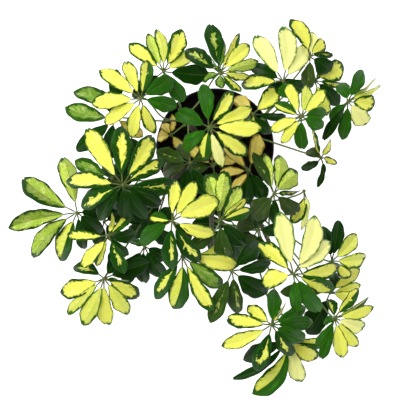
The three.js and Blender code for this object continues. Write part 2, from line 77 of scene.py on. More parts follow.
# The pot is one moulding of thin black plastic: a tapered wall, a stepped rim band with a rolled lip,
# and a floor with drain holes. The mould leaves it finely grained, and use leaves it dusty and scuffed.
POT_HEIGHT = 0.225
RIM_RADIUS = 0.125
BASE_RADIUS = 0.093
POT_WALL = 0.0026
RIM_BAND = 0.024
RIM_STEP = 0.003
LIP_OVERHANG = 0.001
FOOT_RISE = 0.0016
FOOT_WIDTH = 0.009
FOOT_SLOPE = 0.002
FOOT_ROUNDING = 0.003
LEDGE_HEIGHT = 0.020
LEDGE_RISE = 0.0025
LEDGE_DEPTH = 0.00077
UNDERCUT_HEIGHT = 0.003
UNDERCUT_DEPTH = 0.0007
INNER_SHOULDER = 0.004
INNER_CORNER = 0.003
DRAIN_RADIUS = 0.006
DRAIN_RING = 0.070
DRAIN_HOLES = 6
DRILL_LENGTH = 8 * POT_WALL
DRILL_SIDES = 24
POT_STEPS = 96
EDGE_ROUNDING = 0.0005
FACET_TURN = math.radians(20)
SHARP_TURN = math.radians(40)
MERGED_WITHIN = 1e-6
BAND_FOOT = POT_HEIGHT - RIM_BAND
WALL_TOP_RADIUS = RIM_RADIUS - LIP_OVERHANG - RIM_STEP

# The moulded edges, point by point: in and up from the foot's edge, out and up from the foot of the rim
# band, and in and down from the top of the lip.
FOOT_EDGE = ((FOOT_ROUNDING, 0), (0.0008, 0.0009), (0, FOOT_ROUNDING))
BAND_FACE = ((0, 0.001), (0.0002, 0.0100), (-0.0003, 0.0108), (0.0003, 0.0116))
LIP_EDGE = (
    (0.0006, 0.005), (0.0002, 0.0038), (0, 0.002), (0.0005, 0.0006), (0.0016, 0), (0.0026, 0.0003),
    (0.0034, 0.0014), (0.0038, 0.005),
)


def from_bmesh(bm, name, materials=()):
    """A new object in the scene with the mesh that a bmesh describes."""
    mesh = bpy.data.meshes.new(name)
    bm.to_mesh(mesh)
    bm.free()
    for material in materials:
        mesh.materials.append(material)
    return placed(name, mesh)


def hand_over(bm, name, materials, node, slot):
    """Makes a piece of a bmesh, which may stand for a node of the frame, and hides that node's part. The
    slot is not used.
    """
    piece = from_bmesh(bm, name, materials)
    if node:
        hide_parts(node)
    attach(piece, "root")
    return piece


def tint(hex_colour, strength=1.0):
    """A colour as light, from the way that a screen writes it."""
    channels = [int(hex_colour[i:i + 2], 16) / 255 for i in (1, 3, 5)]
    light = [c / 12.92 if c <= 0.04045 else ((c + 0.055) / 1.055) ** 2.4 for c in channels]
    return (*[c * strength for c in light], 1.0)


def node(tree, kind, sockets=(), **settings):
    """The outputs of a new shader node, whose inputs are given a value or joined to another node's."""
    made = tree.nodes.new("ShaderNode" + kind)
    for name, value in settings.items():
        setattr(made, name, value)
    for name, value in dict(sockets).items():
        if isinstance(value, bpy.types.NodeSocket):
            tree.links.new(value, made.inputs[name])
        else:
            made.inputs[name].default_value = value
    return made.outputs


def surface(name):
    """A new material, its node tree, and the place on the piece that wears it."""
    material = bpy.data.materials.new(name)
    material.use_nodes = True
    return material, material.node_tree, node(material.node_tree, "TexCoord")["Object"]


def figure(tree, operation, *values):
    """The result of a sum, or of another operation on values, that the shader works out."""
    return node(tree, "Math", enumerate(values), operation=operation)[0]


def times(tree, first, second):
    """A product worked out by the shader."""
    return figure(tree, "MULTIPLY", first, second)


def scaled(tree, value, factor, plus):
    """A value times a factor, plus another value."""
    return figure(tree, "MULTIPLY_ADD", value, factor, plus)


def mixed(tree, share, first, second):
    """A share of the way from the first colour to the second."""
    return node(tree, "Mix", {0: share, 6: first, 7: second}, data_type="RGBA")[2]


def laid_on(tree, under, colour, where, share):
    """A colour laid over another one where a value says, and at most to a share."""
    return mixed(tree, times(tree, where, share), under, colour)


def rough(tree, place, scale, detail=2.0):
    """A cloudy value from 0 to 1 over a place."""
    return node(tree, "TexNoise", {"Vector": place, "Scale": scale, "Detail": detail})["Fac"]


def stepped(tree, value, low, high):
    """A value turned into a soft step, from 0 at low to 1 at high."""
    return node(tree, "MapRange", {"Value": value, "From Min": low, "From Max": high})["Result"]


def patches(tree, place, scale, low, high, detail=2.0):
    """Soft-edged patches over a place, where a cloudy value passes from low to high."""
    return stepped(tree, rough(tree, place, scale, detail), low, high)


def finished(material, colour, roughness, gloss, relief, strength, depth):
    """Gives a material its colour, its roughness, its gloss, and a relief that a value describes."""
    tree = material.node_tree
    bump = node(tree, "Bump", {"Height": relief, "Strength": strength, "Distance": depth})
    shader = tree.nodes["Principled BSDF"]
    tree.links.new(colour, shader.inputs["Base Color"])
    tree.links.new(roughness, shader.inputs["Roughness"])
    tree.links.new(bump["Normal"], shader.inputs["Normal"])
    shader.inputs["Specular IOR Level"].default_value = gloss
    return material


def black_plastic():
    """Black polypropylene: finely grained, streaked where it was rubbed, with dried splashes and dust."""
    material, tree, place = surface("black_plastic")
    streaks = node(tree, "Mapping", {"Vector": place, "Scale": (1.0, 1.0, 0.12)})["Vector"]
    scuffs = patches(tree, streaks, scale=260, low=0.56, high=0.74, detail=4)
    dust = patches(tree, place, scale=42, low=0.50, high=0.78, detail=6)
    specks = patches(tree, place, scale=620, low=0.66, high=0.74)
    plain = mixed(tree, rough(tree, place, scale=9, detail=3), tint("#0b0c0b"), tint("#191b19"))
    dusty = laid_on(tree, plain, tint("#6a6355"), dust, share=0.07)
    rubbed = laid_on(tree, dusty, tint("#77776f"), scuffs, share=0.08)
    splashed = laid_on(tree, rubbed, tint("#8d8471"), specks, share=0.20)
    roughness = scaled(tree, scuffs, 0.15, scaled(tree, dust, 0.24, 0.34))
    grain = scaled(tree, rough(tree, place, scale=1500), 0.5, times(tree, scuffs, 0.6))
    return finished(material, splashed, roughness, gloss=0.30, relief=grain, strength=0.22, depth=0.0004)


def turned(outline, steps):
    """A closed shell turned round the Z axis from an outline of radii and heights."""
    bm = bmesh.new()
    verts = [bm.verts.new((radius, 0, z)) for radius, z in outline]
    edges = [bm.edges.new(pair) for pair in zip(verts, verts[1:])]
    bmesh.ops.spin(
        bm, geom=verts + edges, cent=(0, 0, 0), axis=(0, 0, 1), angle=2 * math.pi, steps=steps,
        use_merge=True)
    bmesh.ops.remove_doubles(bm, verts=bm.verts[:], dist=MERGED_WITHIN)
    bmesh.ops.recalc_face_normals(bm, faces=bm.faces[:])
    return bm


def cut_by(piece, drills):
    """Cuts a bmesh of drills out of a piece."""
    tool = from_bmesh(drills, "drills")
    cut = piece.modifiers.new("cut", "BOOLEAN")
    cut.object = tool
    cut.solver = "EXACT"
    bpy.context.view_layer.update()
    evaluated = piece.evaluated_get(bpy.context.evaluated_depsgraph_get())
    piece.data = bpy.data.meshes.new_from_object(evaluated)
    piece.modifiers.clear()
    bpy.data.objects.remove(tool)


wall_slope = (WALL_TOP_RADIUS - BASE_RADIUS) / (BAND_FOOT - FOOT_ROUNDING)


def wall_radius(height):
    """The radius of the wall's straight taper at a height."""
    return BASE_RADIUS + wall_slope * (height - FOOT_ROUNDING)


ledge_top = LEDGE_HEIGHT + LEDGE_RISE
foot_inside = BASE_RADIUS - FOOT_ROUNDING - FOOT_WIDTH
pot_outline = [
    (0, FOOT_RISE),
    (foot_inside - FOOT_SLOPE, FOOT_RISE),
    (foot_inside, 0),
    *[(BASE_RADIUS - inwards, up) for inwards, up in FOOT_EDGE],
    (wall_radius(LEDGE_HEIGHT), LEDGE_HEIGHT),
    (wall_radius(ledge_top) - LEDGE_DEPTH, ledge_top),
    (WALL_TOP_RADIUS - UNDERCUT_DEPTH, BAND_FOOT - UNDERCUT_HEIGHT),
    (WALL_TOP_RADIUS, BAND_FOOT),
    *[(WALL_TOP_RADIUS + RIM_STEP + out, BAND_FOOT + up) for out, up in BAND_FACE],
    *[(RIM_RADIUS - inwards, POT_HEIGHT - down) for inwards, down in LIP_EDGE],
    (WALL_TOP_RADIUS - POT_WALL, BAND_FOOT - INNER_SHOULDER),
    (BASE_RADIUS - POT_WALL, POT_WALL + INNER_CORNER),
    (BASE_RADIUS - POT_WALL - INNER_CORNER, POT_WALL + FOOT_RISE),
    (0, POT_WALL + FOOT_RISE),
]
pot_mesh = turned(pot_outline, POT_STEPS)
corners = [e for e in pot_mesh.edges if e.is_manifold and e.calc_face_angle() > FACET_TURN]
bmesh.ops.bevel(
    pot_mesh, geom=corners, offset=EDGE_ROUNDING, segments=2, profile=0.5, affect="EDGES", material=-1,
    clamp_overlap=True)
pot = hand_over(pot_mesh, "nursery_pot", [black_plastic()], "pot", "pot_plastic")
drills = bmesh.new()
for hole in range(DRAIN_HOLES):
    angle = 2 * math.pi * (hole + 0.5) / DRAIN_HOLES
    at = Matrix.Translation((DRAIN_RING * math.cos(angle), DRAIN_RING * math.sin(angle), 0))
    bmesh.ops.create_cone(
        drills, cap_ends=True, segments=DRILL_SIDES, radius1=DRAIN_RADIUS, radius2=DRAIN_RADIUS,
        depth=DRILL_LENGTH, matrix=at)
cut_by(pot, drills)
pot.data.shade_smooth()
pot.data.set_sharp_from_angle(angle=SHARP_TURN)

# The soil is dark potting mix that fills the pot to three centimetres below the lip, heaped in the middle.
# It is peat, uneven all over except along the wall; its near-black is partly painted shade for the inside
# of the pot.
SOIL_TOP = POT_HEIGHT - 0.032
SOIL_MOUND = 0.005
SOIL_GAP = 0.0004
SOIL_RINGS = 26
SOIL_FOOT_BEVEL = 0.004
SOIL_ROUGHNESS = 0.0022
LUMPS_PER_METRE = 90
LUMP_FRACTAL = (0.9, 2.1, 4)
LUMP_MIDDLE = 0.3
LEVEL_EDGE = 1 / 8


def potting_mix():
    """Damp peat and bark, nearly black, darker still with painted shade, with browner fibres and paler
    crumbs here and there.
    """
    material, tree, place = surface("potting_mix")
    crumbs = node(tree, "TexVoronoi", {"Vector": place, "Scale": 310})["Distance"]
    fibres = rough(tree, place, scale=190, detail=8)
    # Painted shade: the damp peat's dark colours are made darker still, for the shadow inside the pot.
    damp_peat_and_painted_shade = mixed(tree, stepped(tree, fibres, low=0.35, high=0.7), tint("#030302"), tint("#110d09"))
    dry = mixed(tree, patches(tree, place, scale=900, low=0.66, high=0.72), damp_peat_and_painted_shade, tint("#2e261d"))
    roughness = scaled(tree, fibres, 0.25, 0.7)
    lumps = figure(tree, "ADD", fibres, crumbs)
    return finished(material, dry, roughness, gloss=0.12, relief=lumps, strength=0.8, depth=0.0016)


def heap(from_wall):
    """How far the soil's mound rises at a share of the way from the wall to the middle."""
    return SOIL_MOUND * math.sin(0.5 * math.pi * from_wall)


soil_floor = POT_WALL + FOOT_RISE + SOIL_GAP
inner_foot = BASE_RADIUS - POT_WALL
inner_slope = (WALL_TOP_RADIUS - BASE_RADIUS) / (BAND_FOOT - INNER_SHOULDER - POT_WALL - INNER_CORNER)
soil_radius = inner_foot + inner_slope * (SOIL_TOP - POT_WALL - INNER_CORNER) - 2 * SOIL_GAP
soil_outline = [
    (0, soil_floor),
    (inner_foot - SOIL_FOOT_BEVEL - SOIL_GAP, soil_floor),
    (inner_foot - 2 * SOIL_GAP, soil_floor + SOIL_FOOT_BEVEL),
]
for ring in range(SOIL_RINGS + 1):
    from_wall = ring / SOIL_RINGS
    soil_outline.append((soil_radius * (1 - from_wall), SOIL_TOP + heap(from_wall)))
soil_mesh = turned(soil_outline, POT_STEPS)


def soil_height(x, y):
    """The height of the soil, which is uneven except along the wall."""
    from_wall = min(1, max(0, 1 - math.hypot(x, y) / soil_radius))
    lumps = unevenness.fractal(Vector((x, y, 0)) * LUMPS_PER_METRE, *LUMP_FRACTAL)
    unlevel = SOIL_ROUGHNESS * (lumps - LUMP_MIDDLE) * min(1, from_wall / LEVEL_EDGE)
    return SOIL_TOP + heap(from_wall) + unlevel


for vert in soil_mesh.verts:
    if vert.co.z > SOIL_TOP - SOIL_GAP:
        vert.co.z = soil_height(vert.co.x, vert.co.y)
for face in soil_mesh.faces:
    face.smooth = True
hand_over(soil_mesh, "potting_mix", [potting_mix()], "soil", "soil")

# Chips of composted bark lie strewn over the soil: flat, splintered, each turned its own way and pressed
# a little into the mix.
CHIPS = 300
CHIP_SEED = 11
CHIP_SIZES = (0.0014, 0.0042)
CHIP_LENGTHS = (1, 2.2)
CHIP_WIDTHS = (0.6, 1)
CHIP_THICKNESS = 0.4
CHIP_RAGGEDNESS = 0.18
CHIP_TILT = 0.3
CHIP_LIFT = 0.25
CHIP_CLEARANCE = 0.006


def bark_chip():
    """Composted bark: brown, splintered along its grain, darker where it is wet."""
    material, tree, place = surface("bark_chip")
    grain = node(tree, "TexWave", {"Vector": place, "Scale": 210, "Distortion": 9})["Fac"]
    brown = mixed(tree, grain, tint("#0b0806"), tint("#241911"))
    patchy = mixed(tree, patches(tree, place, scale=60, low=0.45, high=0.6), brown, tint("#0d0a07"))
    roughness = scaled(tree, grain, 0.2, 0.65)
    return finished(material, patchy, roughness, gloss=0.12, relief=grain, strength=0.6, depth=0.0006)


chance = random.Random(CHIP_SEED)
chips = bmesh.new()
for chip in range(CHIPS):
    angle = chance.uniform(0, 2 * math.pi)
    away = (soil_radius - CHIP_CLEARANCE) * math.sqrt(chance.random())
    x, y = away * math.cos(angle), away * math.sin(angle)
    size = chance.uniform(*CHIP_SIZES)
    at = Matrix.Translation((x, y, soil_height(x, y) + CHIP_LIFT * size))
    turn = Matrix.Rotation(chance.uniform(0, 2 * math.pi), 4, "Z")
    tilt = Matrix.Rotation(chance.gauss(0, CHIP_TILT), 4, "X")
    length = size * chance.uniform(*CHIP_LENGTHS)
    width = size * chance.uniform(*CHIP_WIDTHS)
    stretch = Matrix.Diagonal((length, width, size * CHIP_THICKNESS, 1))
    made = bmesh.ops.create_icosphere(
        chips, subdivisions=1, radius=1, matrix=at @ turn @ tilt @ stretch)
    for vert in made["verts"]:
        vert.co += CHIP_RAGGEDNESS * size * Vector([chance.uniform(-1, 1) for axis in "xyz"])
hand_over(chips, "bark_chips", [bark_chip()], None, "soil")

# The six stems are woody, root in the soil and lean out of the pot. Each has a ring scar for every leaf
# that has dropped, is grey-brown with corky spots below and green above, and ends in a bud.
ROOT_DEPTH = 0.060
STEM_BASE_RADIUS = 0.0075
STEM_TIP_RADIUS = 0.0036
BUD_TIP_RADIUS = 0.0008
BUD_START = 1 - 1 / 12
LEAF_SPACING = 0.019
STEM_BEND = 0.42
STEM_BEND_RISE = 0.5
STEM_STEPS = 150
STEM_SIDES = 16
SCAR_SPACING = 0.0125
SCAR_RISE = 0.0007
SCAR_WIDTH = 0.0014
CURVE_SAMPLES = 200
YOUNG_WOOD = (0.40, 0.50)
UP = Vector((0, 0, 1))

# Each stem's foot in the soil, the place where its tip is seen from above, and its height.
STEMS = {
    "north_west": ((-0.034, 0.024), (178, 108), 0.440),
    "north_east": ((0.036, 0.020), (266, 126), 0.455),
    "centre": ((0.002, -0.006), (224, 152), 0.510),
    "west": ((-0.046, -0.024), (140, 212), 0.450),
    "south": ((-0.008, -0.048), (212, 256), 0.465),
    "south_east": ((0.040, -0.034), (277, 260), 0.450),
}


def on_curve(handles, share):
    """The point and the heading at a share of a Bezier curve with these handles."""
    while len(handles) > 2:
        handles = [a.lerp(b, share) for a, b in zip(handles, handles[1:])]
    return handles[0].lerp(handles[1], share), (handles[1] - handles[0]).normalized()


class EvenLine:
    """A Bezier curve that is walked at an even pace."""

    def __init__(self, handles):
        self.handles = handles
        points = [on_curve(handles, i / CURVE_SAMPLES)[0] for i in range(CURVE_SAMPLES + 1)]
        self.gone = [0.0]
        for here, there in zip(points, points[1:]):
            self.gone.append(self.gone[-1] + (there - here).length)
        self.length = self.gone[-1]

    def at(self, share):
        """The point and the heading at a share of the line's length."""
        wanted = min(max(share, 0), 1) * self.length
        i = next((i for i in range(CURVE_SAMPLES) if self.gone[i + 1] >= wanted), CURVE_SAMPLES - 1)
        within = (wanted - self.gone[i]) / (self.gone[i + 1] - self.gone[i])
        return on_curve(self.handles, (i + within) / CURVE_SAMPLES)


def joined_to(verts):
    """The faces that these vertices belong to, each once."""
    return list(dict.fromkeys(face for vert in verts for face in vert.link_faces))


def rolled(bm, line, beside, radius_at, steps, sides, material=0):
    """A rod along a line of points and headings: a grid rolled round it and closed at both its ends."""
    made = bmesh.ops.create_grid(bm, x_segments=steps, y_segments=sides, size=0.5, calc_uvs=True)
    for vert in made["verts"]:
        share = vert.co.x + 0.5
        turn = 2 * math.pi * vert.co.y
        point, heading = line(share)
        right = heading.cross(beside).normalized()
        up = right.cross(heading)
        radius = 0 if share in (0, 1) else radius_at(share)
        vert.co = point + radius * (math.cos(turn) * right + math.sin(turn) * up)
    bmesh.ops.remove_doubles(bm, verts=made["verts"], dist=MERGED_WITHIN)
    faces = joined_to(vert for vert in made["verts"] if vert.is_valid)
    bmesh.ops.recalc_face_normals(bm, faces=faces)
    for face in faces:
        face.smooth = True
        face.material_index = material
    return faces


def stem_line(foot, tip, height):
    """A stem's middle line, from its root end to its tip."""
    root = Vector((*foot, SOIL_TOP - ROOT_DEPTH))
    top = seen(*tip, height)
    bend = root.lerp(top, STEM_BEND)
    bend.z = SOIL_TOP + STEM_BEND_RISE * (height - SOIL_TOP)
    return EvenLine([root, bend, top])


def stem_radius(share):
    """The plain radius of a stem, without its scars."""
    return STEM_BASE_RADIUS + (STEM_TIP_RADIUS - STEM_BASE_RADIUS) * share


def bark():
    """Bark: grey-brown, fissured and dotted with pale cork below, smoother and green above."""
    material, tree, place = surface("stem_bark")
    height = node(tree, "SeparateXYZ", {"Vector": place})["Z"]
    upright = node(tree, "Mapping", {"Vector": place, "Scale": (1, 1, 0.3)})["Vector"]
    fissures = rough(tree, upright, scale=330, detail=6)
    corky = mixed(tree, stepped(tree, fissures, low=0.35, high=0.65), tint("#1d1812"), tint("#4a4234"))
    spots = patches(tree, place, scale=560, low=0.62, high=0.68, detail=1)
    spotted = laid_on(tree, corky, tint("#756b54"), spots, share=0.6)
    green = mixed(tree, fissures, tint("#263618"), tint("#465a28"))
    uneven = scaled(tree, rough(tree, place, scale=22), 0.10, height)
    young = stepped(tree, uneven, *YOUNG_WOOD)
    colour = mixed(tree, young, spotted, green)
    roughness = scaled(tree, young, -0.25, 0.8)
    return finished(material, colour, roughness, gloss=0.5, relief=fissures, strength=0.5, depth=0.0008)


stem_bark = bark()
stem_lines = {}
for name, (foot, tip, height) in STEMS.items():
    line = stem_line(foot, tip, height)
    stem_lines[name] = line
    lean = line.handles[-1] - line.handles[0]
    beside = UP.cross(lean).normalized()

    def scarred_radius(share):
        """The stem's radius with its leaf scars, narrowing to the bud at the end."""
        from_scar = math.remainder(share * line.length, SCAR_SPACING)
        scar = SCAR_RISE * math.exp(-(from_scar / SCAR_WIDTH) ** 2)
        past = max(0, (share - BUD_START) / (1 - BUD_START))
        return (stem_radius(share) + scar) * (1 - past) + BUD_TIP_RADIUS * past

    stem = bmesh.new()
    rolled(stem, line.at, beside, scarred_radius, STEM_STEPS, STEM_SIDES)
    hand_over(stem, "woody_stem_" + name, [stem_bark], "stem_" + name, "bark")

# The leaves are compound: a long round stalk that grows out of the stem's bark, a small knuckle, and a ring
# of stalked leaflets, waxy and spoon-shaped, that arch down like an umbrella. Many are yellow with a ragged
# green margin along the side veins, many plain green, and others half green, streaked, or old and ochre.
STALK_RADIUS = 0.0017
STALK_SWELLING = 0.0016
FOOT_SWELLING_LENGTH = 0.006
TOP_SWELLING_LENGTH = 0.004
TOP_SWELLING = 0.4
STALK_FOOT_GAP = 0.00025
STALK_STRAIGHT = 0.3
STALK_LEAN = 0.1
STALK_SINK = 0.0012
STALK_STEPS = 26
STALK_SIDES = 8
BOW_AT_FOOT = 0.4
BARELY_UP = 0.001
KNUCKLE_RADIUS = 0.0034
KNUCKLE_FLATNESS = 0.7
KNUCKLE_SIDES = 14
KNUCKLE_RINGS = 8
LEAFLET_STALK_RADIUS = 0.0015
RIB_TIP_RADIUS = 0.0002
RIB_END = 0.97
RIB_DEPTH = 0.9
RIB_THINNING = 0.5
RIB_STEPS = 16
RIB_SIDES = 6
BLADE_START = 0.19
BLADE_OPENING = 3
BLADE_THICKNESS = 0.0005
BLADE_ROWS = 26
BLADE_COLUMNS = 8
SLIMMEST_BLADE = 10
SHINGLE_TURN = 0.35
SPOON_FOOT = 0.75
SPOON_TIP = 2.8
SPOON_POINT = 0.9
SPOON_PEAK = 0.526
KEEL_RISE = 0.378
KEEL_FLATTENING = 0.45
LONGEST_REACH = 1.05
STEEPEST = 1.25
FLATTEST = 0.28
CROWN_DROP = 0.12
CROWN_RISE = 0.05
SIDE_VEINS = 15
VEIN_SLANT = 2.6
HALVES_APART = 9
FOOT_INSET = 0.35
TIP_INSET = 3

# How leaflets differ from each other: how far their green reaches, how light their middle and margin are,
# which half has painted shade, how their edges wave and wobble, how they bend, roll and keel, and their
# tips.
EDGE_SPREAD = (0.7, 1.4)
MIRRORED_BELOW = 0.5
PATTERN_RANGE = 40
HEART_LIGHT = (0.88, 1.08)
MARGIN_LIGHT = (0.8, 1.2)
SHADED_HALVES = (-1, 0.5, 1)
EDGE_WAVES = (1.5, 2.6)
WAVE_HEIGHTS = (0.02, 0.10)
WOBBLES = (2.0, 3.6)
WOBBLE_DEPTH = 0.05
LOPSIDED = 0.07
BEND_SPREAD = 0.02
ROLL_SPREAD = 0.05
KEEL_SPREAD = 0.07
BLUNT_TIPS = (0, 0, 0, 0.10, 0.20)
TIP_LOBES = (1, 2, 3)
TIP_CUTS = (0.02, 0.06)
TIP_CUT_FADE = 12

# What a leaflet's middle and margin look like, how far in from its left and right edges the green reaches,
# as a share of half its width, how speckled its middle is, and how much painted shade darkens one half of
# it.
TONES = {
    "yellow": ("#f4f564", "#2f5a10", 0.11, 0.11, 0.08, 0.10),
    "pale": ("#fbfb9e", "#3a6a20", 0.07, 0.07, 0.05, 0.06),
    "edged": ("#f3f462", "#1d480c", 0.26, 0.26, 0.10, 0.08),
    "banded": ("#f3f462", "#1a440b", 0.48, 0.52, 0.10, 0.08),
    "citron": ("#e8ef66", "#2f5a10", 0.11, 0.18, 0.35, 0.20),
    "lime": ("#d6ec60", "#1f480c", 0.10, 0.22, 1.00, 0.42),
    "grassy": ("#a6c542", "#1a400a", 0.14, 0.26, 1.00, 0.50),
    "fresh": ("#78a636", "#27520d", 0.34, 0.30, 0.90, 0.30),
    "half": ("#f1f25a", "#22520c", 0.18, 1.00, 0.20, 0.08),
    "other_half": ("#e9f058", "#22520c", 1.05, 0.18, 0.30, 0.10),
    "streak": ("#e6ec60", "#15420a", 0.64, 0.72, 0.20, 0.10),
    "flecked": ("#a9c046", "#153c0a", 0.85, 0.85, 0.30, 0.10),
    "green": ("#7ea03c", "#225609", 2.20, 2.20, 0.10, 0.0),
    "dark": ("#3f6020", "#0d3204", 2.20, 2.20, 0.20, 0.0),
    # The dull tone is a dark green greyed with painted shade and a painted bluish sheen, as low leaves look
    # in shadow.
    "dull": ("#6b8040", "#33461d", 1.20, 1.60, 0.30, 0.0),
    "olive": ("#92a344", "#2e4818", 0.75, 1.50, 0.60, 0.15),
    "ochre": ("#f6dc6c", "#8a7228", 0.10, 0.20, 0.45, 0.25),
}
PLAIN_TONES = ("fresh", "flecked", "green", "dark", "dull", "olive")

# The stalks: their greens, and the colour of a leaflet's own stalk with how much it has of the blade's.
STALK_GREEN = "#6b8639"
STALK_LIGHT = (0.6, 1.1)
KNUCKLE_GREEN = "#5f6c33"
PLAIN_ROD = ("#30501a", 0.7)
YELLOW_ROD = ("#30461a", 0.07)

